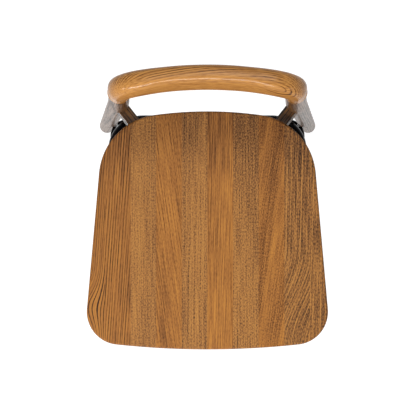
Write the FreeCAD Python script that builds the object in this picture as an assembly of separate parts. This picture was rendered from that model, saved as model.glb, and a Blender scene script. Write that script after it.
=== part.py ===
"""Low back counter stool: a glued-up wooden seat on four splayed round legs, with a low bent crest rail.

Millimetres. +Z is up, the stool faces -Y, and the origin is on the floor at the middle of its footprint.
"""

import FreeCAD, Part
import math
import os

V = FreeCAD.Vector
UP = V(0, 0, 1)

# Seat slab
SEAT_HEIGHT = 650.0          # floor to the top of the seat
SEAT_THICKNESS = 20.0
SEAT_DEPTH = 447.0
SEAT_CENTRE_Y = -23.0        # middle of the seat, forward of the origin
SEAT_FRONT_WIDTH = 463.0     # between the side lines at the front edge, before the corners are rounded
SEAT_REAR_WIDTH = 391.0      # the same at the rear edge
SEAT_FRONT_BOW = 17.0        # rise of the curved front edge over its width
SEAT_REAR_BOW = 27.0
SEAT_FRONT_CORNER = 62.0     # corner radii in plan
SEAT_REAR_CORNER = 120.0
SEAT_EDGE_ROUND = 4.0        # eased top edge
SEAT_UNDERCUT_HEIGHT = 8.0   # bevel that lightens the lower edge
SEAT_UNDERCUT_DEPTH = 14.0
STAVE_COUNT = 10
OUTER_STAVE_SHARE = 0.823    # width of the outermost staves at the front, as a share of the others'

# Legs, measured on their axes at the seat's underside and at the floor
LEG_TOP_INSET = 63.5         # leg tops inside the seat's front width, on each side
LEG_SPLAY = 81.5             # feet further out than the tops, on each side
BACK_LEG_STANDOFF = 18.0     # back legs behind the seat's rear edge
FRONT_LEG_SETBACK = 30.5     # front legs inside the seat's front edge
BACK_LEG_RAKE = 4.5          # feet further out than the tops, front to back
FRONT_LEG_RAKE = 27.5
LEG_SEAT_DIAMETER = 40.0
LEG_FOOT_DIAMETER = 36.0
LEG_TOP_DIAMETER = 38.0      # back legs, where the crest sits on them
KNEE_RADIUS = 400.0          # bend of the back legs at the seat
LEG_FOOT_CHAMFER = 1.5
LEG_TOP_CHAMFER = 1.2        # back legs, a fine groove under the crest

# Crest rail
CREST_HEIGHT = 172.0         # seat top to the middle of the rail
CREST_JOINT_HEIGHT = 94.0    # seat top to the joint with the back legs
CREST_INSET = 18.0           # posts at the middle of the rail inside the leg tops, on each side
CREST_LEAN = 8.5             # posts lean back between the seat and the rail
CREST_TURN = 9.7             # degrees that each end of the rail points forward
CREST_ELBOW = 40.0           # radius of the turn from rail to post
CREST_TALL = 54.0
CREST_THICK = 34.2
CREST_TILT = 16.0            # degrees that the rail's face leans back
CREST_SQUARENESS = 3.4       # exponent of the rail's rounded section, 2 is an ellipse
CREST_KNUCKLE = 2.5          # fullness that the elbows gain, front and back
CREST_FULL_SHARE = 2 / 3     # share of the half rail that keeps its full section
RAIL_SECTION_COUNT = 3       # sections of the loft along the half rail, the elbow and the stub
ELBOW_SECTION_COUNT = 4
STUB_SECTION_COUNT = 2
SECTION_POINTS = 16

# Crossed arms under the seat
ARM_WIDTH = 26.5
ARM_HEIGHT = 34.0
ARM_BEVEL_WIDTH = 4.0        # bevel of the long edges, over the top and down the side
ARM_BEVEL_DEPTH = 2.3
ARM_HOUSING = 7.0            # how deep an arm end sits in its leg

# Steel hoops
SEAT_HOOP_DIAMETER = 18.0
SEAT_HOOP_CORNER = 58.0
SEAT_HOOP_SIDE_OUT = 9.5     # hoop sides outside the leg axes
SEAT_HOOP_END_IN = 30.0      # hoop ends inside the leg axes
SEAT_HOOP_NOTCH = 5.0        # depth of the saddle in the arms
FOOTREST_HEIGHT = 215.0
FOOTREST_DIAMETER = 14.0
FOOTREST_CORNER = 30.0
FOOTREST_SADDLE = 3.0        # depth of the saddle in the legs
SEAM_ABOVE = 0.0             # where a bar's round section closes, clear of its screw holes
SEAM_BESIDE = 90.0

# Fastenings
DOWEL_DIAMETER = 18.0
DOWEL_LENGTH = 60.0
BOLT_DIAMETER = 6.0
BOLT_HEAD_DIAMETER = 13.0
BOLT_HEAD_HEIGHT = 5.0
BOLT_LEVEL = 9.0             # bolt axis below the seat's underside
BOLT_PLUG_DEPTH = 7.0        # wood plug over the bolt head
NUT_DIAMETER = 10.0
NUT_LENGTH = 17.0
NUT_SETBACK = 54.0           # barrel nut from the arm's end
NUT_GRIP = 6.0               # bolt end past the barrel nut
SCREW_DIAMETER = 5.0
SCREW_HEAD_DIAMETER = 9.0
SCREW_HEAD_HEIGHT = 3.0
SCREW_BITE = 12.0            # screw length in the wood
SPOT_FACE = 1.6              # flat for a screw head on a round bar
SEAT_SCREW_INNER = 60.0      # seat screws along an arm, from the crossing
SEAT_SCREW_OUTER = 165.0
SEAT_SCREW_SEAT = 20.0       # wood left under the seat by the counterbore
INSERT_DIAMETER = 9.0
INSERT_LENGTH = 12.0
FIT = 0.1                    # radial clearance of pins, bolts and bars in their holes

# Glides
GLIDE_HEIGHT = 6.0
GLIDE_DIAMETER = 28.0
GLIDE_EDGE = 2.0
PIN_DIAMETER = 4.0
PIN_IN_GLIDE = 3.5
PIN_IN_LEG = 18.0

# Levels and lines that the pieces share
SEAT_UNDERSIDE = SEAT_HEIGHT - SEAT_THICKNESS
SEAT_FRONT_Y = SEAT_CENTRE_Y - SEAT_DEPTH / 2
SEAT_REAR_Y = SEAT_CENTRE_Y + SEAT_DEPTH / 2
LEG_TOP_X = SEAT_FRONT_WIDTH / 2 - LEG_TOP_INSET
LEG_FOOT_X = LEG_TOP_X + LEG_SPLAY
CREST_CORNER_X = LEG_TOP_X - CREST_INSET
ARM_UNDERSIDE = SEAT_UNDERSIDE - ARM_HEIGHT
ARM_MIDDLE = SEAT_UNDERSIDE - ARM_HEIGHT / 2
BOLT_Z = SEAT_UNDERSIDE - BOLT_LEVEL
SEAT_HOOP_Z = ARM_UNDERSIDE + SEAT_HOOP_NOTCH - SEAT_HOOP_DIAMETER / 2
FAR = 4.0 * SEAT_HEIGHT      # larger than the whole stool
SIDES = {"left": -1, "right": 1}


def flat(point, z):
    """The same place at another level."""
    return V(point.x, point.y, z)


def cylinder(start, direction, diameter, length):
    return Part.makeCylinder(diameter / 2, length, start, direction)


def cone(start, direction, start_diameter, end_diameter, length):
    return Part.makeCone(start_diameter / 2, end_diameter / 2, length, start, direction)


def disc(centre, normal, diameter):
    return Part.Face(Part.Wire(Part.makeCircle(diameter / 2, centre, normal)))


def slab(z_low, z_high):
    """Everything between two levels."""
    return Part.makeBox(2 * FAR, 2 * FAR, z_high - z_low, V(-FAR, -FAR, z_low))


def shares(count):
    """Equal steps up to the whole."""
    return [step / count for step in range(1, count + 1)]


def export(name, shape):
    """Write one node: a solid, or a list of equal solids as a group."""
    solids = shape if isinstance(shape, list) else [shape]
    whole = Part.makeCompound(solids) if len(solids) > 1 else solids[0]
    whole.exportStep("parts/" + name + ".step")
    print(name, len(whole.Solids), round(whole.Volume / 1000, 1), "cm3", whole.isValid())


# Bolts and screws


def headed(seat, direction, shank, shank_length, head, head_height):
    """A head that bears on the seat point and a shank that runs from there along the direction."""
    shank_solid = cylinder(seat, direction, shank, shank_length)
    head_solid = cylinder(seat - direction * head_height, direction, head, head_height)
    return head_solid.fuse(shank_solid).removeSplitter()


def screw(seat, direction, length):
    return headed(seat, direction, SCREW_DIAMETER, length, SCREW_HEAD_DIAMETER, SCREW_HEAD_HEIGHT)


def screw_hole(seat, direction, length, behind):
    """Room for a screw, open behind its head."""
    head = SCREW_HEAD_DIAMETER + 2 * FIT
    return headed(seat, direction, SCREW_DIAMETER + 2 * FIT, length + FIT, head, behind)


def bolt(seat, direction, length):
    return headed(seat, direction, BOLT_DIAMETER, length, BOLT_HEAD_DIAMETER, BOLT_HEAD_HEIGHT)


def bolt_hole(seat, direction, length):
    """Room for a bolt, open behind its head to beyond the leg."""
    head = BOLT_HEAD_DIAMETER + 2 * FIT
    return headed(seat, direction, BOLT_DIAMETER + 2 * FIT, length + FIT, head, LEG_SEAT_DIAMETER)


# Legs


class Leg:
    """Axis of one round leg, from the floor to the seat's underside."""

    def __init__(self, end, side):
        self.name = end + "_leg_" + side
        self.back = end == "back"
        self.side = SIDES[side]
        top_y = SEAT_REAR_Y + BACK_LEG_STANDOFF if self.back else SEAT_FRONT_Y + FRONT_LEG_SETBACK
        foot_y = top_y + BACK_LEG_RAKE if self.back else top_y - FRONT_LEG_RAKE
        self.top = V(self.side * LEG_TOP_X, top_y, SEAT_UNDERSIDE)
        self.foot = V(self.side * LEG_FOOT_X, foot_y, 0)
        self.rise = self.top - self.foot
        self.up = V(self.rise).normalize()

    def at(self, z):
        """Point of the axis at a level."""
        return self.foot + self.rise * (z / self.rise.z)

    def diameter(self, z):
        share = z / SEAT_UNDERSIDE
        return LEG_FOOT_DIAMETER + (LEG_SEAT_DIAMETER - LEG_FOOT_DIAMETER) * share


def post_axis(leg):
    """A back leg above the seat: its direction, the joint with the crest and the rail's corner."""
    corner = V(leg.side * CREST_CORNER_X, leg.top.y + CREST_LEAN, SEAT_HEIGHT + CREST_HEIGHT)
    post = (corner - leg.top).normalize()
    joint = leg.top + post * ((SEAT_HEIGHT + CREST_JOINT_HEIGHT - leg.top.z) / post.z)
    return post, joint, corner


def front_leg_blank(leg):
    """A tapered round leg, cut level under the seat and above the glide."""
    reach = 1.0 + LEG_SEAT_DIAMETER / SEAT_UNDERSIDE
    top_diameter = leg.diameter(SEAT_UNDERSIDE * reach)
    taper = cone(leg.foot, leg.up, LEG_FOOT_DIAMETER, top_diameter, leg.rise.Length * reach)
    return foot_chamfer(taper.common(slab(GLIDE_HEIGHT, SEAT_UNDERSIDE)))


def back_leg_blank(leg):
    """A tapered round leg with a slight bend at the seat, ending square at the crest joint."""
    post, joint, _ = post_axis(leg)
    axis = leg.up.cross(post).normalize()
    turn = leg.up.getAngle(post)
    run = KNEE_RADIUS * math.tan(turn / 2)
    knee_start = leg.top - leg.up * run
    knee_end = leg.top + post * run
    centre = knee_start + axis.cross(leg.up) * KNEE_RADIUS
    lower_length = (knee_start - leg.foot).Length
    upper_length = (joint - knee_end).Length
    lower = cone(leg.foot, leg.up, LEG_FOOT_DIAMETER, LEG_SEAT_DIAMETER, lower_length)
    knee = disc(knee_start, leg.up, LEG_SEAT_DIAMETER).revolve(centre, axis, math.degrees(turn))
    upper = cone(knee_end, post, LEG_SEAT_DIAMETER, LEG_TOP_DIAMETER, upper_length)
    whole = lower.fuse([knee, upper]).removeSplitter()
    rim = [e for e in whole.Edges if e.CenterOfMass.distanceToPoint(joint) < FIT]
    whole = whole.makeChamfer(LEG_TOP_CHAMFER, rim)
    return foot_chamfer(whole.cut(slab(-FAR, GLIDE_HEIGHT)))


def foot_chamfer(leg):
    """Break the edge round the level cut over the glide."""
    sole = [e for e in leg.Edges if e.BoundBox.ZMax - GLIDE_HEIGHT < FIT]
    return leg.makeChamfer(LEG_FOOT_CHAMFER, sole)


# Crest rail


def rounded_section(centre, back, rise, half_thick, half_tall, squareness):
    """A closed rounded outline between an ellipse and a rectangle, as a list of points."""
    points = []
    for step in range(SECTION_POINTS):
        angle = 2 * math.pi * step / SECTION_POINTS
        across = math.copysign(abs(math.cos(angle)) ** (2 / squareness), math.cos(angle))
        along = math.copysign(abs(math.sin(angle)) ** (2 / squareness), math.sin(angle))
        points.append(centre + back * (half_thick * across) + rise * (half_tall * along))
    return points


def closed_spline(points):
    curve = Part.BSplineCurve()
    curve.interpolate(Points=points, PeriodicFlag=True)
    return Part.Wire(curve.toShape())


def crest_stations(post, joint, corner):
    """Right half of the rail's centre line, as (length, point, direction, back) from middle to joint."""
    turn = math.radians(CREST_TURN)
    outward = V(math.cos(turn), -math.sin(turn), 0)
    down = post * -1
    bend = outward.getAngle(down)
    run = CREST_ELBOW * math.tan(bend / 2)
    elbow_start = corner - outward * run
    elbow_end = corner + down * run
    radius = elbow_start.x / math.sin(turn)
    centre = V(0, elbow_start.y - radius * math.cos(turn), elbow_start.z)
    elbow_axis = outward.cross(down).normalize()
    elbow_centre = elbow_start + elbow_axis.cross(outward) * CREST_ELBOW
    elbow_back = elbow_axis * -1
    rail_length = radius * turn
    elbow_length = CREST_ELBOW * bend
    stub_length = (joint - elbow_end).Length
    stations = []
    for share in [0.0] + shares(RAIL_SECTION_COUNT):
        angle = turn * share
        back = V(math.sin(angle), math.cos(angle), 0)
        along = V(math.cos(angle), -math.sin(angle), 0)
        stations.append((rail_length * share, centre + back * radius, along, back))
    for share in shares(ELBOW_SECTION_COUNT):
        roll = FreeCAD.Rotation(elbow_axis, math.degrees(bend * share))
        point = elbow_centre + roll.multVec(elbow_start - elbow_centre)
        stations.append((rail_length + elbow_length * share, point, roll.multVec(outward), elbow_back))
    for share in shares(STUB_SECTION_COUNT):
        point = elbow_end + down * (stub_length * share)
        stations.append((rail_length + elbow_length + stub_length * share, point, down, elbow_back))
    return stations


def blend(start, end, share):
    """Between two sizes, leaving the first and reaching the second without a kink."""
    return start + (end - start) * share * share * (3 - 2 * share)


def crest_rail_blank(post, joint, corner):
    """The rail is lofted from post to post through sections that go from a leaning rounded
    rectangle in the middle, round the elbows, to the round of the leg at each joint."""
    stations = crest_stations(post, joint, corner)
    whole = stations[-1][0]
    full = stations[RAIL_SECTION_COUNT][0] * CREST_FULL_SHARE
    right = []
    for length, point, along, back in stations:
        share = max(0.0, (length - full) / (whole - full))
        tilt = FreeCAD.Rotation(along, blend(-CREST_TILT, 0.0, share))
        knuckle = CREST_KNUCKLE * math.sin(math.pi * share)
        thick = blend(CREST_THICK, LEG_TOP_DIAMETER, share)
        tall = blend(CREST_TALL, LEG_TOP_DIAMETER, share)
        squareness = blend(CREST_SQUARENESS, 2.0, share)
        lean = tilt.multVec(back)
        rise = tilt.multVec(along.cross(back))
        right.append(rounded_section(point, lean, rise, thick / 2 + knuckle, tall / 2, squareness))
    left = [[V(-p.x, p.y, p.z) for p in section] for section in right[:0:-1]]
    return Part.makeLoft([closed_spline(section) for section in left + right], True, False)


def crest_assembly(legs, solids):
    """The crest rail and the dowels that join it to the back legs."""
    crest = crest_rail_blank(*post_axis(legs["back_leg_right"]))
    for side in SIDES:
        leg = "back_leg_" + side
        post, joint, _ = post_axis(legs[leg])
        start = joint - post * (DOWEL_LENGTH / 2)
        socket = cylinder(start - post * FIT, post, DOWEL_DIAMETER + 2 * FIT, DOWEL_LENGTH + 2 * FIT)
        solids[leg] = solids[leg].cut(socket)
        crest = crest.cut(socket)
        solids["crest_dowel_" + side] = cylinder(start, post, DOWEL_DIAMETER, DOWEL_LENGTH)
    solids["crest_rail"] = crest


# Seat


def corner_edges(block, rear):
    """The upright edges at one end of the slab."""
    upright = [e for e in block.Edges if e.BoundBox.ZLength > SEAT_THICKNESS / 2]
    return [e for e in upright if (e.CenterOfMass.y > SEAT_CENTRE_Y) == rear]


def seat_blank():
    """The whole slab before it is seen as staves: bowed ends, tapered sides, rounded corners."""
    rear = SEAT_REAR_WIDTH / 2
    front = SEAT_FRONT_WIDTH / 2
    rear_y = SEAT_REAR_Y - SEAT_REAR_BOW
    front_y = SEAT_FRONT_Y + SEAT_FRONT_BOW
    z = SEAT_UNDERSIDE
    rear_left, rear_right = V(-rear, rear_y, z), V(rear, rear_y, z)
    front_left, front_right = V(-front, front_y, z), V(front, front_y, z)
    outline = Part.Wire([
        Part.Arc(rear_left, V(0, SEAT_REAR_Y, z), rear_right).toShape(),
        Part.makeLine(rear_right, front_right),
        Part.Arc(front_right, V(0, SEAT_FRONT_Y, z), front_left).toShape(),
        Part.makeLine(front_left, rear_left),
    ])
    block = Part.Face(outline).extrude(UP * SEAT_THICKNESS)
    block = block.makeFillet(SEAT_REAR_CORNER, corner_edges(block, True))
    block = block.makeFillet(SEAT_FRONT_CORNER, corner_edges(block, False))
    lower = [e for e in block.Edges if e.BoundBox.ZMax < SEAT_UNDERSIDE + FIT]
    block = block.makeChamfer(SEAT_UNDERCUT_HEIGHT, SEAT_UNDERCUT_DEPTH, lower)
    upper = [e for e in block.Edges if e.BoundBox.ZMin > SEAT_HEIGHT - FIT]
    return block.makeFillet(SEAT_EDGE_ROUND, upper)


def staves(slab_solid):
    """The slab cut along its glue lines, left to right, with a joint on the middle line."""
    inner_count = STAVE_COUNT // 2 - 1
    width = SEAT_FRONT_WIDTH / 2 / (inner_count + OUTER_STAVE_SHARE)
    glue_lines = [index * width for index in range(-inner_count, inner_count + 1)]
    result = []
    for left, right in zip([-FAR] + glue_lines, glue_lines + [FAR]):
        strip = Part.makeBox(right - left, 2 * FAR, 2 * FAR, V(left, -FAR, -FAR))
        result.append(slab_solid.common(strip))
    return result


# Hoops


def hoop_spine(half_width, front_y, rear_y, corner, z):
    """Rounded rectangle that a hoop's bar follows."""
    block = Part.makeBox(2 * half_width, rear_y - front_y, corner, V(-half_width, front_y, z))
    block = block.makeFillet(corner, [e for e in block.Edges if e.BoundBox.ZLength > corner / 2])
    sole = min(block.Faces, key=lambda face: face.CenterOfMass.z)
    return sole.OuterWire


def hoop_bar(spine, diameter, seam):
    """A round bar swept along a hoop's spine, one run or bend at a time."""
    pieces = []
    for edge in spine.Edges:
        start = edge.valueAt(edge.FirstParameter)
        along = edge.tangentAt(edge.FirstParameter)
        section = disc(start, along, diameter)
        section.rotate(start, along, seam)
        if isinstance(edge.Curve, Part.Line):
            pieces.append(section.extrude(edge.valueAt(edge.LastParameter) - start))
        else:
            turn = math.degrees(edge.LastParameter - edge.FirstParameter)
            pieces.append(section.revolve(edge.Curve.Center, edge.Curve.Axis, turn))
    return pieces[0].fuse(pieces[1:]).removeSplitter()


def footrest_assembly(legs, solids):
    """The footrest hoop lies in a saddle in each leg, with a screw through it."""
    diagonal = V(1, 1, 0).normalize()
    back = legs["back_leg_right"]
    rest_back = back.at(FOOTREST_HEIGHT)
    rest_front = legs["front_leg_right"].at(FOOTREST_HEIGHT)
    leg_to_bar = (back.diameter(FOOTREST_HEIGHT) + FOOTREST_DIAMETER) / 2 - FOOTREST_SADDLE
    inset = leg_to_bar * diagonal.x - FOOTREST_CORNER * (1 - diagonal.x)
    spine = hoop_spine(rest_back.x - inset, rest_front.y + inset, rest_back.y - inset,
                       FOOTREST_CORNER, FOOTREST_HEIGHT)
    hoop = hoop_bar(spine, FOOTREST_DIAMETER, SEAM_ABOVE)
    saddle = hoop_bar(spine, FOOTREST_DIAMETER + 2 * FIT, SEAM_ABOVE)
    length = FOOTREST_DIAMETER - SPOT_FACE + SCREW_BITE
    screws = []
    for name, leg in legs.items():
        out = V(leg.side, 1 if leg.back else -1, 0).normalize()
        bar_centre = leg.at(FOOTREST_HEIGHT) - out * leg_to_bar
        head_seat = bar_centre - out * (FOOTREST_DIAMETER / 2 - SPOT_FACE)
        hole = screw_hole(head_seat, out, length, FOOTREST_DIAMETER)
        hoop = hoop.cut(hole)
        solids[name] = solids[name].cut(saddle).cut(hole)
        screws.append(screw(head_seat, out, length))
    solids["footrest_hoop"] = hoop
    solids["footrest_screws"] = screws


# Crossed arms


class Arm:
    """Centre line of one arm, housed in a back leg and in the front leg across from it."""

    def __init__(self, name, back_leg, front_leg):
        back = back_leg.at(ARM_MIDDLE)
        front = front_leg.at(ARM_MIDDLE)
        self.name = name
        self.along = (front - back).normalize()
        self.start = back + self.along * (back_leg.diameter(ARM_MIDDLE) / 2 - ARM_HOUSING)
        self.end = front - self.along * (front_leg.diameter(ARM_MIDDLE) / 2 - ARM_HOUSING)
        self.ends = [(back_leg, self.start, self.along), (front_leg, self.end, self.along * -1)]


def arm_blank(arm):
    """A bar with its four long edges bevelled."""
    across = arm.along.cross(UP)
    edge = ARM_WIDTH / 2
    flank = edge - ARM_BEVEL_WIDTH
    top = ARM_HEIGHT / 2
    shoulder = top - ARM_BEVEL_DEPTH
    corners = [(flank, top), (edge, shoulder), (edge, -shoulder), (flank, -top),
               (-flank, -top), (-edge, -shoulder), (-edge, shoulder), (-flank, top)]
    points = [arm.start + across * side + UP * rise for side, rise in corners]
    return Part.Face(Part.makePolygon(points + points[:1])).extrude(arm.end - arm.start)


def crossed_arms(legs, solids):
    """Two arms, one halved from above and the other from below, and their housings in the legs."""
    lower = Arm("cross_arm_lower", legs["back_leg_left"], legs["front_leg_right"])
    upper = Arm("cross_arm_upper", legs["back_leg_right"], legs["front_leg_left"])
    lower_bar = arm_blank(lower)
    upper_bar = arm_blank(upper)
    for arm, bar in ((lower, lower_bar), (upper, upper_bar)):
        for leg, _, _ in arm.ends:
            solids[leg.name] = solids[leg.name].cut(bar)
    solids[lower.name] = lower_bar.cut(upper_bar.common(slab(ARM_MIDDLE, FAR)))
    solids[upper.name] = upper_bar.cut(lower_bar.common(slab(-FAR, ARM_MIDDLE)))
    return [lower, upper]


def skin_point(blank, outside, inside):
    """Where a line from outside first meets the wood."""
    wood = Part.makeLine(outside, inside).common(blank)
    return min((v.Point for v in wood.Vertexes), key=lambda point: point.distanceToPoint(outside))


def bolt_arms(arms, blanks, solids):
    """A bolt through each leg into a barrel nut in the arm, with a wooden plug over its head."""
    bolts, nuts, plugs = [], [], []
    for arm in arms:
        for leg, arm_end, inward in arm.ends:
            tip = flat(arm_end, BOLT_Z)
            skin = skin_point(blanks[leg.name], tip - inward * (2 * LEG_SEAT_DIAMETER), tip)
            head_seat = skin + inward * (BOLT_PLUG_DEPTH + BOLT_HEAD_HEIGHT)
            length = (tip - head_seat).Length + NUT_SETBACK + NUT_GRIP
            hole = bolt_hole(head_seat, inward, length)
            bolts.append(bolt(head_seat, inward, length))
            plug_seat = head_seat - inward * (BOLT_HEAD_HEIGHT + FIT)
            plug_rod = cylinder(plug_seat, inward * -1, BOLT_HEAD_DIAMETER, LEG_SEAT_DIAMETER)
            plugs.append(plug_rod.common(blanks[leg.name]))
            nut_base = tip + inward * NUT_SETBACK - UP * (NUT_LENGTH / 2)
            nuts.append(cylinder(nut_base, UP, NUT_DIAMETER, NUT_LENGTH).cut(hole))
            nut_mouth = flat(nut_base, ARM_UNDERSIDE)
            nut_depth = nut_base.z + NUT_LENGTH + FIT - ARM_UNDERSIDE
            nut_hole = cylinder(nut_mouth, UP, NUT_DIAMETER + 2 * FIT, nut_depth)
            solids[leg.name] = solids[leg.name].cut(hole)
            solids[arm.name] = solids[arm.name].cut(hole).cut(nut_hole)
    solids["leg_bolts"] = bolts
    solids["barrel_nuts"] = nuts
    solids["bolt_plugs"] = plugs


def seat_hoop_assembly(legs, arms, solids):
    """The hoop under the arms lies in a saddle at each crossing, with a screw up through it."""
    back = legs["back_leg_right"].at(SEAT_HOOP_Z)
    front = legs["front_leg_right"].at(SEAT_HOOP_Z)
    spine = hoop_spine(back.x + SEAT_HOOP_SIDE_OUT, front.y + SEAT_HOOP_END_IN,
                       back.y - SEAT_HOOP_END_IN, SEAT_HOOP_CORNER, SEAT_HOOP_Z)
    hoop = hoop_bar(spine, SEAT_HOOP_DIAMETER, SEAM_BESIDE)
    saddle = hoop_bar(spine, SEAT_HOOP_DIAMETER + 2 * FIT, SEAM_BESIDE)
    length = SEAT_HOOP_DIAMETER - SPOT_FACE + SCREW_BITE
    screws = []
    for arm in arms:
        line = Part.makeLine(flat(arm.start, SEAT_HOOP_Z), flat(arm.end, SEAT_HOOP_Z))
        room = [saddle]
        for crossing, _ in line.distToShape(spine)[1]:
            head_seat = crossing - UP * (SEAT_HOOP_DIAMETER / 2 - SPOT_FACE)
            hole = screw_hole(head_seat, UP, length, SEAT_HOOP_DIAMETER)
            hoop = hoop.cut(hole)
            room.append(hole)
            screws.append(screw(head_seat, UP, length))
        solids[arm.name] = solids[arm.name].cut(room)
    solids["seat_hoop"] = hoop
    solids["hoop_screws"] = screws


def seat_assembly(arms, solids):
    """The seat's staves, held by screws up through the arms into threaded inserts."""
    seat = seat_blank()
    length = SEAT_SCREW_SEAT + INSERT_LENGTH - FIT
    screws, inserts = [], []
    for arm in arms:
        middle = flat((arm.start + arm.end) * 0.5, SEAT_UNDERSIDE)
        for offset in (-SEAT_SCREW_OUTER, -SEAT_SCREW_INNER, SEAT_SCREW_INNER, SEAT_SCREW_OUTER):
            place = middle + arm.along * offset
            head_seat = place - UP * SEAT_SCREW_SEAT
            hole = screw_hole(head_seat, UP, length, ARM_HEIGHT)
            insert = cylinder(place, UP, INSERT_DIAMETER, INSERT_LENGTH)
            seat = seat.cut(insert)
            solids[arm.name] = solids[arm.name].cut(hole)
            inserts.append(insert.cut(hole))
            screws.append(screw(head_seat, UP, length))
    for number, stave in enumerate(staves(seat), start=1):
        solids["seat_stave_" + str(number)] = stave
    solids["seat_screws"] = screws
    solids["seat_inserts"] = inserts


# Glides


def glide(foot):
    """Nylon button with a rounded lower edge and a hole for its pin."""
    button = cylinder(flat(foot, 0), UP, GLIDE_DIAMETER, GLIDE_HEIGHT)
    rim = [e for e in button.Edges if e.BoundBox.ZMax < FIT]
    button = button.makeFillet(GLIDE_EDGE, rim)
    hole_start = flat(foot, GLIDE_HEIGHT - PIN_IN_GLIDE)
    return button.cut(cylinder(hole_start, UP, PIN_DIAMETER + 2 * FIT, GLIDE_HEIGHT))


def glide_assembly(legs, solids):
    """A glide under each leg, held by a pin."""
    pin_length = PIN_IN_GLIDE + PIN_IN_LEG
    pins = []
    for name, leg in legs.items():
        foot = leg.at(GLIDE_HEIGHT)
        pin_start = flat(foot, GLIDE_HEIGHT - PIN_IN_GLIDE)
        pins.append(cylinder(pin_start, UP, PIN_DIAMETER, pin_length))
        solids[name] = solids[name].cut(cylinder(pin_start, UP, PIN_DIAMETER + 2 * FIT, pin_length + FIT))
        solids[name.replace("leg", "glide")] = glide(foot)
    solids["glide_pins"] = pins


def build():
    """Make every piece, each cutting its room from its neighbours, then write them all."""
    legs = {}
    for end in ("back", "front"):
        for side in SIDES:
            leg = Leg(end, side)
            legs[leg.name] = leg
    blanks = {name: back_leg_blank(leg) if leg.back else front_leg_blank(leg) for name, leg in legs.items()}
    solids = dict(blanks)
    crest_assembly(legs, solids)
    footrest_assembly(legs, solids)
    arms = crossed_arms(legs, solids)
    bolt_arms(arms, blanks, solids)
    seat_hoop_assembly(legs, arms, solids)
    seat_assembly(arms, solids)
    glide_assembly(legs, solids)
    for name, shape in solids.items():
        export(name, shape)


os.makedirs("parts", exist_ok=True)
build()
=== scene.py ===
# %% [markdown]
# # A low back counter stool
#
# The stool stands on a white studio floor and is seen from straight above. Its pieces arrive already
# shaped and in place. This lesson lights them, gives each one its wood, lacquer, steel or nylon, and
# models the screws that show from below.

# %% Load the stool
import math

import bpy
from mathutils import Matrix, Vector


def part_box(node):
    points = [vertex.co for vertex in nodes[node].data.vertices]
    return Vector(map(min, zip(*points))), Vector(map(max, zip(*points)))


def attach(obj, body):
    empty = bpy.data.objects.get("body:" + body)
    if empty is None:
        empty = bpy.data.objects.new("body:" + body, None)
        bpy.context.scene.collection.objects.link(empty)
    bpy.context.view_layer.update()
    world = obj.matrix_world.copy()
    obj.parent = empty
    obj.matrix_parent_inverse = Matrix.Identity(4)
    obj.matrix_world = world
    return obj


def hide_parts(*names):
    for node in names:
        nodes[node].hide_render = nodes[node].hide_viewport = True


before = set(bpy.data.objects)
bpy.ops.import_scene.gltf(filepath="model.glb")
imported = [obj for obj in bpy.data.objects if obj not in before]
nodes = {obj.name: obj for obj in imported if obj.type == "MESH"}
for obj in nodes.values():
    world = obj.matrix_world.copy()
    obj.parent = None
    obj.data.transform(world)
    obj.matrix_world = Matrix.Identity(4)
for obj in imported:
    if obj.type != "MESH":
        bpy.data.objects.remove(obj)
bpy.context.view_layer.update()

# %% [markdown]

# %% [markdown]
# ## The camera
#
# The picture is a plan view: the lens hangs over the stool and looks straight down, with the back of
# the stool at the top of the picture. A long lens from high up keeps the legs from spreading too far
# outside the seat, so the lens is set first and everything else is judged through it.

# %% Hang the camera over the seat
CAMERA_HEIGHT = 2.65
CAMERA_X = 0.0011
CAMERA_Y = 0.019
LENS_MM = 92.4

camera_data = bpy.data.cameras.new("plan_camera")
camera_data.sensor_width = 36.0
camera_data.lens = LENS_MM
camera = bpy.data.objects.new("plan_camera", camera_data)
camera.location = (CAMERA_X, CAMERA_Y, CAMERA_HEIGHT)
bpy.context.scene.collection.objects.link(camera)
bpy.context.scene.camera = camera
print("camera at", tuple(camera.location))

# %% [markdown]
# ## A short way to add shader nodes
#
# Every finish here is a small tree of nodes. Adding a node by hand takes a line for the node, one for
# each setting and one for each link. This helper does all of that in one call and hands back the
# output that the next node needs.

# %% Node helper
def shader_node(tree, kind, inputs=None, out=0, **settings):
    """Add a node. Settings are its menus, inputs its sockets, given as values or as links."""
    node = tree.nodes.new("ShaderNode" + kind)
    for name, choice in settings.items():
        setattr(node, name, choice)
    for socket, value in (inputs or {}).items():
        if isinstance(value, bpy.types.NodeSocket):
            tree.links.new(value, node.inputs[socket])
        else:
            node.inputs[socket].default_value = value
    return node.outputs[out]


# %% [markdown]
# Three steps come back in every tree: a sum on numbers, a smooth change from one value to another, and
# a fresh material. Colours are written as on a painter's chart, from 0 to 255, and straightened for the
# shader, which counts light and not the steps that the eye sees.

# %% Sums, blends, materials and colours
def maths(tree, operation, first, second=0.0, third=0.0):
    """One step of arithmetic on numbers."""
    return shader_node(tree, "Math", {0: first, 1: second, 2: third}, operation=operation)


def ease(tree, value, start, end, low=0.0, high=1.0):
    """Go smoothly from low to high while value goes from start to end."""
    inputs = {"Value": value, "From Min": start, "From Max": end, "To Min": low, "To Max": high}
    return shader_node(tree, "MapRange", inputs, interpolation_type="SMOOTHSTEP")


def new_material(name):
    """An empty material: its node tree and its Principled shader."""
    material = bpy.data.materials.new(name)
    material.use_nodes = True
    return material, material.node_tree, material.node_tree.nodes["Principled BSDF"]


def linear(red, green, blue):
    """A chart colour for a shader socket."""
    def straighten(level):
        share = level / 255
        return share / 12.92 if share <= 0.04045 else ((share + 0.055) / 1.055) ** 2.4
    return (straighten(red), straighten(green), straighten(blue), 1.0)


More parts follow.
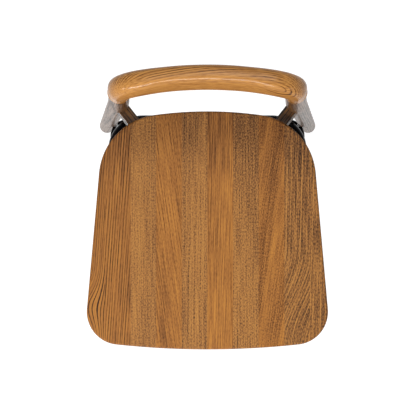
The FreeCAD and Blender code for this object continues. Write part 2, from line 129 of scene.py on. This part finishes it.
# %% [markdown]
# ## The studio
#
# A sheet of white paper lies under the stool and runs out of sight on all sides. Paper in this light
# would render grey, and more light would bleach the wood. So the rays that the camera and the lacquer
# send out see the paper with a glow added, while it keeps the stool's soft shadow.

# %% White floor
FLOOR_SIZE = 30.0
PAPER_WHITE = 0.36
PAPER_GLOW = 0.84
PAPER_CLOUD = 0.02


def seen_by_eye(tree):
    """1 for rays from the camera, from gloss and through glass, and 0 for light that only fills in."""
    path = tree.nodes.new("ShaderNodeLightPath")
    eye = maths(tree, "MAXIMUM", path.outputs["Is Camera Ray"], path.outputs["Is Glossy Ray"])
    return maths(tree, "MAXIMUM", eye, path.outputs["Is Transmission Ray"])


def paper():
    material, tree, shader = new_material("studio_paper")
    place = shader_node(tree, "TexCoord", out="Object")
    cloud = shader_node(tree, "TexNoise", {"Vector": place, "Scale": 3.0, "Detail": 4.0})
    tone = ease(tree, cloud, 0.2, 0.8, PAPER_WHITE - PAPER_CLOUD, PAPER_WHITE + PAPER_CLOUD)
    tree.links.new(tone, shader.inputs["Base Color"])
    shader.inputs["Roughness"].default_value = 0.9
    shader.inputs["Specular IOR Level"].default_value = 0.1
    shader.inputs["Emission Color"].default_value = (1.0, 1.0, 1.0, 1.0)
    glow = maths(tree, "MULTIPLY", seen_by_eye(tree), PAPER_GLOW)
    tree.links.new(glow, shader.inputs["Emission Strength"])
    return material


bpy.ops.object.select_all(action="DESELECT")
bpy.ops.mesh.primitive_plane_add(size=FLOOR_SIZE)
floor = bpy.context.object
floor.name = "studio_floor"
floor.data.materials.append(paper())
print("floor", FLOOR_SIZE, "m wide")

# %% [markdown]
# Most of the light falls from a large cloth overhead and a little behind, so the crest rail shades the
# back of the seat. A pale wall in front lights the face of the crest. Gloss sees another room: white
# walls, which make the grazing sides of the legs pale, and a dim ceiling, which keeps the tops dark.

# %% Light from above, white walls
WALL_FILL = 0.08
FILL_SHEETS = {
    "cloth": {"lean": 17.0, "core": 10.0, "edge": 24.0, "light": 4.6},
    "front_wall": {"lean": -62.0, "core": 15.0, "edge": 40.0, "light": 0.4},
}
WALL_SEEN = 0.55
CEILING_SEEN = 0.08
CEILING_STARTS = 0.30
CEILING_FULL = 0.75

world = bpy.data.worlds.new("studio_room")
bpy.context.scene.world = world
world.use_nodes = True
room = world.node_tree
direction = shader_node(room, "TexCoord", out="Generated")
height = shader_node(room, "SeparateXYZ", {"Vector": direction}, out="Z")
seen = ease(room, height, CEILING_STARTS, CEILING_FULL, WALL_SEEN, CEILING_SEEN)
fill = WALL_FILL
for name, sheet in FILL_SHEETS.items():
    lean, core, edge = (math.radians(sheet[angle]) for angle in ("lean", "core", "edge"))
    middle = (0.0, math.sin(lean), math.cos(lean))
    nearness = shader_node(room, "VectorMath", {0: direction, 1: middle}, out="Value",
                           operation="DOT_PRODUCT")
    glow = ease(room, nearness, math.cos(edge), math.cos(core), 0.0, sheet["light"])
    fill = maths(room, "ADD", glow, fill)
    print(name, "leans", sheet["lean"], "degrees back from overhead")
light = maths(room, "MULTIPLY_ADD", seen_by_eye(room), maths(room, "SUBTRACT", seen, fill), fill)
room.links.new(light, room.nodes["Background"].inputs["Strength"])
room.nodes["Background"].inputs["Color"].default_value = (1.0, 1.0, 1.0, 1.0)

# %% [markdown]
# Four small soft boxes draw the highlights. The long one, high at the front left, makes the streak along
# the crest rail and lights the rail's face. Those at the sides shine on the elbows and on the bevels of
# the arms, and the one behind on the top of the crest.

# %% Soft boxes
SOFT_BOXES = {
    "front_box": {"place": (-0.55, -1.45, 2.30), "size": (1.8, 0.30), "watts": 42.0},
    "left_box": {"place": (-2.10, -1.00, 1.87), "size": (0.45, 0.4), "watts": 10.0},
    "right_box": {"place": (2.10, -1.00, 1.87), "size": (0.5, 0.4), "watts": 4.0},
    "rear_box": {"place": (0.45, 1.30, 2.60), "size": (1.0, 0.5), "watts": 4.0},
}
AIM = Vector((0.0, 0.05, 0.70))

for name, box in SOFT_BOXES.items():
    lamp_data = bpy.data.lights.new(name, "AREA")
    lamp_data.shape = "RECTANGLE"
    lamp_data.size, lamp_data.size_y = box["size"]
    lamp_data.energy = box["watts"]
    lamp = bpy.data.objects.new(name, lamp_data)
    lamp.location = box["place"]
    lamp.rotation_euler = (AIM - lamp.location).to_track_quat("-Z", "Y").to_euler()
    bpy.context.scene.collection.objects.link(lamp)
    print(name, "at", box["place"])

bpy.context.scene.view_settings.view_transform = "Standard"

# %% [markdown]
# ## Wood that is solid all through
#
# Real boards are slices of a log, so the same growth rings show as straight lines on one face and as
# arches or ovals where a surface cuts across them. A picture wrapped round a piece can't do that. This
# wood is therefore worked out in space: the material knows where the heart of the log runs, and every
# point of the surface asks how far from the heart it is. Beside a branch the grain flares sideways, and
# in a bent rail it follows the bow, so a point may first be pushed aside, as far as the grain was.

# %% Where a point lies in the log
def object_place(tree):
    """A place on the piece, with its parts X, across the stool, and Y, from front to back."""
    place = shader_node(tree, "TexCoord", out="Object")
    x = shader_node(tree, "SeparateXYZ", {"Vector": place}, out="X")
    y = shader_node(tree, "SeparateXYZ", {"Vector": place}, out="Y")
    return place, x, y


def log_space(tree, board):
    """Places in the log's own space, whose heart runs along Z through the point heart."""
    place, x, y = object_place(tree)
    push = {}
    if "flare" in board:
        flare = board["flare"]
        reach = maths(tree, "MULTIPLY", ease(tree, y, *flare["y"]), ease(tree, y, *flare["until"]))
        reach = maths(tree, "MULTIPLY", ease(tree, x, *flare["x"]), reach)
        push["X"] = maths(tree, "MULTIPLY", reach, flare["by"])
    if "bow" in board:
        push["Y"] = maths(tree, "MULTIPLY", maths(tree, "MULTIPLY", x, x), board["bow"])
    if push:
        aside = shader_node(tree, "CombineXYZ", push)
        place = shader_node(tree, "VectorMath", {0: place, 1: aside}, operation="ADD")
    inputs = {"Vector": place, "Location": board["heart"], "Rotation": board["turn"]}
    return shader_node(tree, "Mapping", inputs, vector_type="TEXTURE")


def streaks(tree, space, across, along, detail=2.0, out="Fac"):
    """Noise drawn out along the grain: across and along are marks per metre."""
    drawn = shader_node(tree, "VectorMath", {0: space, 1: (across, across, along)}, operation="MULTIPLY")
    return shader_node(tree, "TexNoise", {"Vector": drawn, "Scale": 1.0, "Detail": detail}, out=out)


# %% [markdown]
# A year's ring starts with a dark band of open pores and ends in dense pale wood. Real rings are never
# round, so the place drifts a little before its distance from the heart is taken, and some years are
# wider than others.

# %% Growth rings
DRIFT_MARKS = (9.0, 1.6)
SPELLS_PER_YEAR = 0.35


def growth_rings(tree, space, spacing, wander, weather):
    """0 where a year begins with open pores, rising to 1 where it ends."""
    drift = streaks(tree, space, *DRIFT_MARKS, out="Color")
    drift = shader_node(tree, "VectorMath", {0: drift, 1: (0.5, 0.5, 0.5)}, operation="SUBTRACT")
    moved = shader_node(tree, "VectorMath", {0: drift, 1: (wander,) * 3, 2: space},
                        operation="MULTIPLY_ADD")
    level = shader_node(tree, "VectorMath", {0: moved, 1: (1.0, 1.0, 0.0)}, operation="MULTIPLY")
    radius = shader_node(tree, "VectorMath", {0: level}, operation="LENGTH", out="Value")
    spells = {"W": radius, "Scale": SPELLS_PER_YEAR / spacing, "Detail": 2.0}
    seasons = shader_node(tree, "TexNoise", spells, noise_dimensions="1D")
    years = maths(tree, "DIVIDE", radius, spacing)
    return maths(tree, "FRACT", maths(tree, "MULTIPLY_ADD", seasons, weather, years))


# %% [markdown]
# The lines need not be equally strong all over. On the crest rail they are dark at the back and faint at
# the front, and they come out once more at one elbow. The rail is bowed, so its back is found by
# straightening it first.

# %% Where a bowed rail shows its lines
def figured(tree, bow, back, elbow, least, most):
    """Strength of the lines: full at the back of the rail, least at its front, most at one elbow."""
    _, x, y = object_place(tree)
    depth = maths(tree, "MULTIPLY_ADD", maths(tree, "MULTIPLY", x, x), bow, y)
    at_back = ease(tree, depth, *back, least, 1.0)
    at_elbow = ease(tree, x, *elbow, 0.0, most)
    return maths(tree, "MAXIMUM", at_back, at_elbow)


# %% [markdown]
# Up close the wood is made of four things: the dark start of each ring, pores like short dashes, fine
# straight fibres, and slow clouds where the stain took differently. Each has its own share, and together
# they say how dark the stain is. A share of lines below zero turns the dark lines into golden ones.

# %% How dark the stain is
MID_NOISE = (0.30, 0.70)
WIDE_NOISE = (0.2, 0.8)
RING_START = 0.04
RING_END = 0.90
FADING_MARKS = (70.0, 7.0)
FADED = 0.35
PORE_ROWS = 560.0
PORE_EDGE = (0.36, 0.66)
FIBRE_ROWS = 520.0
CLOUD_MARKS = (26.0, 3.5)


def line_strength(tree, space, board):
    """The dark start of each ring, which fades here and there along the grain."""
    ring = growth_rings(tree, space, board["spacing"], board["wander"], board["weather"])
    falling = ease(tree, ring, RING_START, board["band"], 1.0, 0.0)
    rising = ease(tree, ring, RING_END, 1.0)
    fading = ease(tree, streaks(tree, space, *FADING_MARKS), *MID_NOISE, FADED, 1.0)
    lines = maths(tree, "MULTIPLY", maths(tree, "MAXIMUM", falling, rising), fading)
    if "figure" in board:
        lines = maths(tree, "MULTIPLY", lines, figured(tree, **board["figure"]))
    return lines


def darkness_of(tree, space, board):
    """How dark the stain is at each place, with painted shade towards the back of a seat stave, and where
    the pores are.
    """
    lines = line_strength(tree, space, board)
    dashes = ease(tree, streaks(tree, space, PORE_ROWS, board["pore_marks"]), *PORE_EDGE)
    gathered = maths(tree, "MULTIPLY_ADD", lines, board["gather"], 1.0 - board["gather"])
    pores = maths(tree, "MULTIPLY", dashes, gathered)
    fibres = streaks(tree, space, FIBRE_ROWS, board["fibre_marks"], 0.0)
    fibres = ease(tree, fibres, *MID_NOISE, -0.5, 0.5)
    clouds = ease(tree, streaks(tree, space, *CLOUD_MARKS), *WIDE_NOISE, -0.5, 0.5)
    darkness = board["tone"]
    # Painted shade: a seat stave turns darker towards its back edge, where the crest rail's shadow falls.
    if "rear" in board:
        along = shader_node(tree, "SeparateXYZ", {"Vector": space}, out="Z")
        darkness = ease(tree, along, *board["rear"], board["tone"], board["rear_tone"])
    shares = ((lines, "lines"), (pores, "pores"), (fibres, "fibres"), (clouds, "clouds"))
    for pattern, share in shares:
        darkness = maths(tree, "MULTIPLY_ADD", pattern, board[share], darkness)
    return darkness, pores


# %% [markdown]
# The darkness picks a colour from the stain, from pale to dark in even steps. Dark places are also a
# little rougher, the pores lie a hair lower, and the lacquer lies over it all.

# %% Stained and lacquered timber
DARK_ROUGHNESS = 0.18
PORE_DEPTH = 0.0004


def wood(name, board, stain, lacquer):
    """A finished timber: board is the cut of the log, stain its colours and lacquer its shine."""
    material, tree, shader = new_material(name)
    darkness, pores = darkness_of(tree, log_space(tree, board), board)
    colours = tree.nodes.new("ShaderNodeValToRGB")
    tree.links.new(darkness, colours.inputs["Fac"])
    ramp = colours.color_ramp
    ramp.elements[0].position, ramp.elements[0].color = 0.0, stain[0]
    ramp.elements[1].position, ramp.elements[1].color = 1.0, stain[-1]
    for step, colour in enumerate(stain[1:-1], start=1):
        ramp.elements.new(step / (len(stain) - 1)).color = colour
    tree.links.new(colours.outputs["Color"], shader.inputs["Base Color"])
    rough = ease(tree, darkness, 0.0, 1.0, lacquer["rough"], lacquer["rough"] + DARK_ROUGHNESS)
    tree.links.new(rough, shader.inputs["Roughness"])
    hollows = maths(tree, "MULTIPLY", pores, -1.0)
    bump = shader_node(tree, "Bump", {"Height": hollows, "Strength": lacquer["grain_relief"],
                                      "Distance": PORE_DEPTH})
    tree.links.new(bump, shader.inputs["Normal"])
    shader.inputs["Specular IOR Level"].default_value = lacquer["gloss"]
    shader.inputs["Coat Weight"].default_value = lacquer["coat"]
    shader.inputs["Coat Roughness"].default_value = lacquer["coat_rough"]
    return material


def dress(node_name, material):
    """Give a node one finish all over."""
    slots = nodes[node_name].data.materials
    slots.clear()
    slots.append(material)


# %% [markdown]
# ## The seat
#
# The seat is glued up from staves about half a hand wide, all with the grain from front to back. Each
# stave comes from another board, and the joints show only because line, pores and tone change from one
# to the next. So each stave has a material of its own. Towards the back edge the colour is darker: this
# is painted shade, standing in for the crest rail's shadow.

# %% Cuts for the seat
PORED_STAIN = [linear(174, 121, 59), linear(142, 94, 47), linear(92, 59, 31), linear(38, 26, 17)]
WARM_STAIN = [linear(178, 119, 50), linear(145, 92, 40), linear(92, 54, 22), linear(42, 25, 12)]
SATIN = {"rough": 0.42, "gloss": 0.18, "grain_relief": 0.35, "coat": 0.0, "coat_rough": 0.3}
GRAIN_TO_BACK = math.radians(-90)
SEAT_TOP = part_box("seat_stave_5")[1].z
HEART_UNDER_TOP = 0.05
# Painted shade: the back edge of the seat is coloured darker, in place of the crest rail's shadow.
REAR_SHADE_SPAN = (0.04, 0.21)
REAR_SHADE_DARKER = 0.17


def seat_board(heart_x, yaw, tone, **shares):
    """A quarter-sawn seat board: its heart lies at heart_x, far to one side, and points to the back."""
    board = {
        "heart": (heart_x, 0.0, SEAT_TOP - HEART_UNDER_TOP),
        "turn": (GRAIN_TO_BACK, 0.0, math.radians(yaw)),
        "tone": tone, "rear": REAR_SHADE_SPAN, "rear_tone": tone + REAR_SHADE_DARKER,
        "wander": 0.010, "weather": 1.0, "band": 0.40, "gather": 0.3, "fibre_marks": 14.0, "clouds": 0.20,
    }
    board.update(shares)
    return board


# %% [markdown]
# From left to right: a board whose lines flare out at the front corner, a lined one, a flecked one, a
# smooth one with slanting lines, one with rows of dark pores, a smooth one with soft golden lines, a
# mottled one, one with a broad slanting band, and two open-pored ones with thin golden lines, which lean
# over at the front of the first. The smooth and the lined boards take the stain warmer than the others.

# %% Seat staves
CORNER_FLARE = {"x": (-0.180, -0.240), "y": (-0.09, -0.165), "until": (-0.24, -0.165), "by": 0.022}
FRONT_FLARE = {"x": (0.400, 0.300), "y": (-0.06, -0.24), "until": (-0.50, -0.40), "by": 0.050}

BOARDS = {
    "flared": seat_board(
        heart_x=-0.600, yaw=-4.0, tone=0.18, spacing=0.0036, lines=0.74, pores=0.30, pore_marks=110.0,
        fibres=0.20, wander=0.004, gather=0.7, flare=CORNER_FLARE),
    "lined": seat_board(
        heart_x=-0.600, yaw=-4.0, tone=0.22, spacing=0.0047, lines=0.54, pores=0.36, pore_marks=110.0,
        fibres=0.24, wander=0.005, gather=0.7),
    "flecked": seat_board(
        heart_x=-0.420, yaw=0.5, tone=0.07, spacing=0.0034, lines=0.05, pores=0.48, pore_marks=280.0,
        fibres=0.24, gather=0.1),
    "smooth_left": seat_board(
        heart_x=-0.360, yaw=8.0, tone=0.17, spacing=0.0052, lines=0.20, pores=0.32, pore_marks=160.0,
        fibres=0.28),
    "dark_pored": seat_board(
        heart_x=-0.300, yaw=-0.6, tone=0.06, spacing=0.0110, lines=0.12, pores=0.68, pore_marks=270.0,
        fibres=0.26, gather=0.4),
    "smooth_right": seat_board(
        heart_x=0.330, yaw=-1.5, tone=0.24, spacing=0.0046, lines=-0.26, pores=0.22, pore_marks=120.0,
        fibres=0.32),
    "mottled": seat_board(
        heart_x=0.420, yaw=0.4, tone=0.05, spacing=0.0060, lines=0.06, pores=0.62, pore_marks=280.0,
        fibres=0.24, gather=0.2),
    "banded": seat_board(
        heart_x=0.500, yaw=-9.0, tone=0.13, spacing=0.0400, lines=0.20, pores=0.42, pore_marks=280.0,
        fibres=0.26, weather=1.5, band=0.95),
    "leaning": seat_board(
        heart_x=0.360, yaw=-1.5, tone=0.24, spacing=0.0062, lines=-0.55, pores=0.46, pore_marks=220.0,
        fibres=0.34, weather=2.0, band=0.30, gather=0.0, flare=FRONT_FLARE),
    "open_pored": seat_board(
        heart_x=0.360, yaw=-1.5, tone=0.21, spacing=0.0066, lines=-0.50, pores=0.46, pore_marks=220.0,
        fibres=0.34, weather=2.0, band=0.30, gather=0.0),
}
WARM_BOARDS = ["flared", "lined", "smooth_left", "smooth_right", "banded"]

for number, (name, board) in enumerate(BOARDS.items(), start=1):
    stain = WARM_STAIN if name in WARM_BOARDS else PORED_STAIN
    dress("seat_stave_" + str(number), wood("seat_wood_" + name, board, stain, SATIN))
print("dressed", len(BOARDS), "staves, each with its own board")

# %% [markdown]
# ## Crest rail
#
# The rail is bent and then shaped, so its grain runs from end to end and follows the bow, and the elbows
# cut through it: there the rings close into ovals. The heart of its log lies a little behind the rail.
# Its lacquer is glossier than the seat's, as on parts that hands polish.

# %% Crest rail
CREST_STAIN = [linear(198, 140, 73), linear(162, 108, 53), linear(102, 65, 33), linear(40, 27, 16)]
GLOSSY = {"rough": 0.45, "gloss": 0.12, "grain_relief": 0.10, "coat": 0.45, "coat_rough": 0.19}
GRAIN_TO_RIGHT = math.radians(90)
HEART_BEHIND = 0.031
HEART_ABOVE_STUBS = 0.0248
HEART_YAW = math.radians(-6.0)
HEART_PITCH = math.radians(1.0)
GRAIN_BOW = 0.7
CREST_FIGURE = {
    "bow": 0.57, "back": (0.238, 0.250), "elbow": (0.085, 0.120), "least": 0.12, "most": 0.65,
}
FRAME_BOARD = {
    "wander": 0.003, "weather": 1.5, "band": 0.36, "pores": 0.30, "pore_marks": 90.0, "gather": 0.5,
    "fibres": 0.24, "fibre_marks": 14.0, "clouds": 0.16,
}

crest_low, crest_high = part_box("crest_rail")
crest_heart = (0.0, crest_high.y + HEART_BEHIND, crest_low.z + HEART_ABOVE_STUBS)
crest_board = dict(
    FRAME_BOARD, heart=crest_heart, turn=(HEART_YAW, GRAIN_TO_RIGHT + HEART_PITCH, 0.0),
    bow=GRAIN_BOW, spacing=0.0030, lines=0.90, tone=0.06, figure=CREST_FIGURE)
dress("crest_rail", wood("crest_wood", crest_board, CREST_STAIN, GLOSSY))
print("crest rings from a heart at", [round(part, 3) for part in crest_heart])

# %% [markdown]
# ## Dark legs and arms
#
# Below the crest the wood is stained nearly black-brown: the change shows as a sharp line at the joints
# of the back legs. A leg is turned from a straight billet, so its grain follows its own slant. The slant
# is measured from the mesh: the middles of the foot and of a slice under the seat lie on the leg's axis.
# Each leg has its heart at another side, so that no two look alike.

# %% Legs
DARK_STAIN = [linear(138, 96, 53), linear(96, 63, 33), linear(54, 34, 17), linear(22, 14, 8)]
RUBBED = {"rough": 0.36, "gloss": 0.40, "grain_relief": 0.15, "coat": 0.10, "coat_rough": 0.2}
FOOT_SLICE = 0.01
KNEE_SLICE = (0.59, 0.64)
HEART_ASIDE = 0.05
HEART_STEP = 0.01
HEART_SPREAD = 0.03


def leg_axis(node_name):
    """Foot and direction of a leg, from two slices of its mesh."""
    points = [vertex.co for vertex in nodes[node_name].data.vertices]
    low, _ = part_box(node_name)
    foot = [point for point in points if point.z < low.z + FOOT_SLICE]
    knee = [point for point in points if KNEE_SLICE[0] < point.z < KNEE_SLICE[1]]
    foot = sum(foot, Vector()) / len(foot)
    knee = sum(knee, Vector()) / len(knee)
    return foot, (knee - foot).normalized()


for number, leg in enumerate(["back_leg_left", "back_leg_right", "front_leg_left", "front_leg_right"]):
    foot, up = leg_axis(leg)
    side = Vector((HEART_ASIDE + HEART_STEP * number, -HEART_SPREAD * (number - 1.5), 0.0))
    leg_board = dict(
        FRAME_BOARD, heart=foot + side, turn=up.to_track_quat("Z", "Y").to_euler(), spacing=0.0042,
        band=0.46, lines=0.34, tone=0.20)
    dress(leg, wood(leg + "_wood", leg_board, DARK_STAIN, RUBBED))
    print(leg, "grain along", [round(part, 3) for part in up])

# %% [markdown]
# The two crossed arms have the same stain under a glossier lacquer, and their grain runs along them. One
# arm runs to the back on the left and the other on the right, so each has a direction of its own.

# %% Arms
ARM_LACQUER = {"rough": 0.34, "gloss": 0.40, "grain_relief": 0.30, "coat": 0.36, "coat_rough": 0.12}
ARM_HEART_X = 0.09
ARM_HEART_Y = 0.02
HEART_BELOW_ARM = 0.03

for arm, lean in (("cross_arm_lower", -1), ("cross_arm_upper", 1)):
    low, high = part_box(arm)
    along = Vector((high.x - low.x, lean * (high.y - low.y), 0.0)).normalized()
    arm_board = dict(
        FRAME_BOARD, heart=(ARM_HEART_X, ARM_HEART_Y, low.z - HEART_BELOW_ARM),
        turn=along.to_track_quat("Z", "Y").to_euler(), spacing=0.0050, band=0.50, lines=0.66, tone=0.27)
    dress(arm, wood(arm + "_wood", arm_board, DARK_STAIN, ARM_LACQUER))
    print(arm, "runs along", [round(part, 3) for part in along])

# %% [markdown]
# Small plugs of the same dark wood hide the bolt heads in the legs, with their grain upright. The dowels
# between legs and crest are never seen, and are left bare and dry for the glue.

# %% Plugs and dowels
BARE_BEECH = [linear(214, 178, 132), linear(196, 156, 108), linear(170, 128, 84), linear(140, 100, 64)]
MATT = {"rough": 0.60, "gloss": 0.25, "grain_relief": 0.30, "coat": 0.0, "coat_rough": 0.3}

plug_board = dict(
    FRAME_BOARD, heart=(0.0, 0.0, 0.60), turn=(0.0, 0.0, 0.0), spacing=0.0030, lines=0.80, tone=0.06)
dress("bolt_plugs", wood("plug_wood", plug_board, DARK_STAIN, RUBBED))
dowel_wood = wood("dowel_wood", plug_board, BARE_BEECH, MATT)
for dowel in ("crest_dowel_left", "crest_dowel_right"):
    dress(dowel, dowel_wood)
print("dressed plugs and dowels")

# %% [markdown]
# ## Black steel
#
# The hoop under the seat and the footrest are round bars with black stove enamel. Enamel is not a perfect
# mirror: it has a very fine orange peel, and its shine is a little uneven from handling.

# %% Hoops
def black_enamel():
    material, tree, shader = new_material("black_enamel")
    place = shader_node(tree, "TexCoord", out="Object")
    peel = shader_node(tree, "TexNoise", {"Vector": place, "Scale": 900.0, "Detail": 1.0})
    handling = shader_node(tree, "TexNoise", {"Vector": place, "Scale": 60.0, "Detail": 4.0})
    tree.links.new(ease(tree, handling, *MID_NOISE, 0.07, 0.13), shader.inputs["Roughness"])
    bump = shader_node(tree, "Bump", {"Height": peel, "Strength": 0.05, "Distance": 0.0002})
    tree.links.new(bump, shader.inputs["Normal"])
    shader.inputs["Base Color"].default_value = linear(8, 8, 10)
    shader.inputs["Specular IOR Level"].default_value = 0.12
    return material


enamel = black_enamel()
for hoop in ("seat_hoop", "footrest_hoop"):
    dress(hoop, enamel)
print("dressed both hoops")

# %% [markdown]
# ## Plated fittings and glides
#
# Bolts, nuts and pins are zinc plated, the threaded inserts are brass, and the glides are moulded nylon.
# Most of them are hidden in the wood, but each still has the fine unevenness that its making leaves.

# %% Zinc, brass and nylon
def plated(name, colour):
    material, tree, shader = new_material(name)
    place = shader_node(tree, "TexCoord", out="Object")
    tooling = shader_node(tree, "TexNoise", {"Vector": place, "Scale": 1500.0, "Detail": 2.0})
    tree.links.new(ease(tree, tooling, *MID_NOISE, 0.28, 0.42), shader.inputs["Roughness"])
    shader.inputs["Base Color"].default_value = colour
    shader.inputs["Metallic"].default_value = 1.0
    return material


def nylon():
    material, tree, shader = new_material("glide_nylon")
    place = shader_node(tree, "TexCoord", out="Object")
    mould = shader_node(tree, "TexNoise", {"Vector": place, "Scale": 700.0, "Detail": 3.0})
    tree.links.new(ease(tree, mould, *MID_NOISE, 0.45, 0.62), shader.inputs["Roughness"])
    shader.inputs["Base Color"].default_value = linear(52, 50, 48)
    return material


zinc = plated("zinc_plate", linear(190, 192, 194))
for fitting in ("leg_bolts", "barrel_nuts", "glide_pins"):
    dress(fitting, zinc)
dress("seat_inserts", plated("turned_brass", linear(214, 178, 104)))
glide_nylon = nylon()
for glide in ("back_glide_left", "back_glide_right", "front_glide_left", "front_glide_right"):
    dress(glide, glide_nylon)
print("dressed the hidden fittings and the glides")

# %% [markdown]
# ## Button-head screws
#
# From below one sees the heads of the screws that hold the hoops and the seat. Each is a low round button
# with a soft rim and a hexagon socket. One screw is turned as on a lathe: a disc for the head, its rim
# bevelled, the shank drawn out of its upper face, and the socket cut with a six-sided cylinder.

# %% Model one screw
HEAD_RADIUS = 0.0045
HEAD_HEIGHT = 0.0030
SHANK_RADIUS = 0.0025
RIM_ROUND = 0.0011
SOCKET_RADIUS = 0.0017
SOCKET_DEPTH = 0.0017
FACING = 0.9


def select_faces(screw, chosen):
    """In edit mode, select the faces for which chosen is true."""
    bpy.ops.object.mode_set(mode="OBJECT")
    for face in screw.data.polygons:
        face.select = chosen(face)
    bpy.ops.object.mode_set(mode="EDIT")


def button_screw(name, length):
    """A screw on the Z axis, its head's outer face at zero and its shank up to length."""
    bpy.ops.object.select_all(action="DESELECT")
    bpy.ops.mesh.primitive_cylinder_add(vertices=48, radius=HEAD_RADIUS, depth=HEAD_HEIGHT,
                                        location=(0.0, 0.0, HEAD_HEIGHT / 2))
    screw = bpy.context.object
    screw.name = name
    bpy.ops.object.transform_apply(location=True)
    bpy.ops.object.mode_set(mode="EDIT")
    bpy.ops.mesh.select_mode(type="FACE")
    select_faces(screw, lambda face: face.normal.z < -FACING)
    bpy.ops.mesh.bevel(offset=RIM_ROUND, segments=4, affect="EDGES")
    select_faces(screw, lambda face: face.normal.z > FACING)
    bpy.ops.mesh.inset(thickness=HEAD_RADIUS - SHANK_RADIUS, depth=0.0)
    drawn_out = (0.0, 0.0, length - HEAD_HEIGHT)
    bpy.ops.mesh.extrude_region_move(TRANSFORM_OT_translate={"value": drawn_out})
    bpy.ops.object.mode_set(mode="OBJECT")
    return screw


# %% [markdown]
# The socket is cut with a Boolean modifier, because a hexagon doesn't fit the rings of a turned head. The
# cutter starts a little outside the head, so that no two faces lie in the same plane.

# %% Cut the socket
def cut_socket(screw):
    """Cut a hexagon socket into the head's outer face."""
    bpy.ops.object.select_all(action="DESELECT")
    bpy.ops.mesh.primitive_cylinder_add(vertices=6, radius=SOCKET_RADIUS, depth=2 * SOCKET_DEPTH)
    key = bpy.context.object
    cut = screw.modifiers.new("socket", "BOOLEAN")
    cut.operation = "DIFFERENCE"
    cut.object = key
    cut.solver = "EXACT"
    bpy.context.view_layer.objects.active = screw
    bpy.ops.object.modifier_apply(modifier=cut.name)
    bpy.data.objects.remove(key)
    bpy.ops.object.select_all(action="DESELECT")
    screw.select_set(True)
    bpy.ops.object.shade_smooth_by_angle(angle=math.radians(35))


# %% [markdown]
# The plain screws that arrived with the stool say where the new ones go. Their points fall into groups,
# one for each screw: by quarter of the stool, and under the seat also by inner and outer ring.

# %% Find where the screws go
SEAT_SCREW_RING = 0.11


def screw_groups(node_name):
    """Points of each screw in a node, by quarter and ring."""
    groups = {}
    for vertex in nodes[node_name].data.vertices:
        point = vertex.co
        outer = math.hypot(point.x, point.y) > SEAT_SCREW_RING
        groups.setdefault((point.x > 0, point.y > 0, outer), []).append(point.copy())
    return [groups[key] for key in sorted(groups)]


def screw_place(points, direction):
    """Start and length of a screw whose shank points in a direction."""
    middle = sum(points, Vector()) / len(points)
    depths = [(point - middle).dot(direction) for point in points]
    low = [min(point[axis] for point in points) for axis in range(3)]
    high = [max(point[axis] for point in points) for axis in range(3)]
    centre = (Vector(low) + Vector(high)) / 2
    centre += direction * ((min(depths) + max(depths)) / 2 - (centre - middle).dot(direction))
    length = max(depths) - min(depths)
    return centre - direction * (length / 2), length


# %% [markdown]
# One screw is modelled for each kind, since their lengths differ, and copied to the other places with a
# mesh of its own. The copies are turned and moved in object mode, joined into one piece, and their place
# is applied, so the piece sits at the origin as every node does.

# %% Set the screws
def set_screws(node_name, points_up):
    """Replace a node's plain screws by button heads."""
    pieces = []
    for points in screw_groups(node_name):
        corner = Vector((math.copysign(1, points[0].x), math.copysign(1, points[0].y), 0.0))
        direction = Vector((0.0, 0.0, 1.0)) if points_up else corner.normalized()
        start, length = screw_place(points, direction)
        if not pieces:
            first = button_screw(node_name + "_button", length)
            cut_socket(first)
            plain = first.data.copy()
            pieces.append(first)
        else:
            copy = bpy.data.objects.new(node_name + "_copy", plain.copy())
            bpy.context.scene.collection.objects.link(copy)
            pieces.append(copy)
        pieces[-1].location = start
        pieces[-1].rotation_euler = direction.to_track_quat("Z", "Y").to_euler()
    bpy.ops.object.select_all(action="DESELECT")
    for piece in pieces:
        piece.select_set(True)
    bpy.context.view_layer.objects.active = pieces[0]
    bpy.ops.object.transform_apply(location=True, rotation=True)
    bpy.ops.object.join()
    pieces[0].data.materials.append(zinc)
    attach(pieces[0], "root")
    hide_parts(node_name)
    print(node_name, "has", len(pieces), "button heads, each", round(length * 1000, 1), "mm long")


set_screws("footrest_screws", points_up=False)
set_screws("hoop_screws", points_up=True)
set_screws("seat_screws", points_up=True)
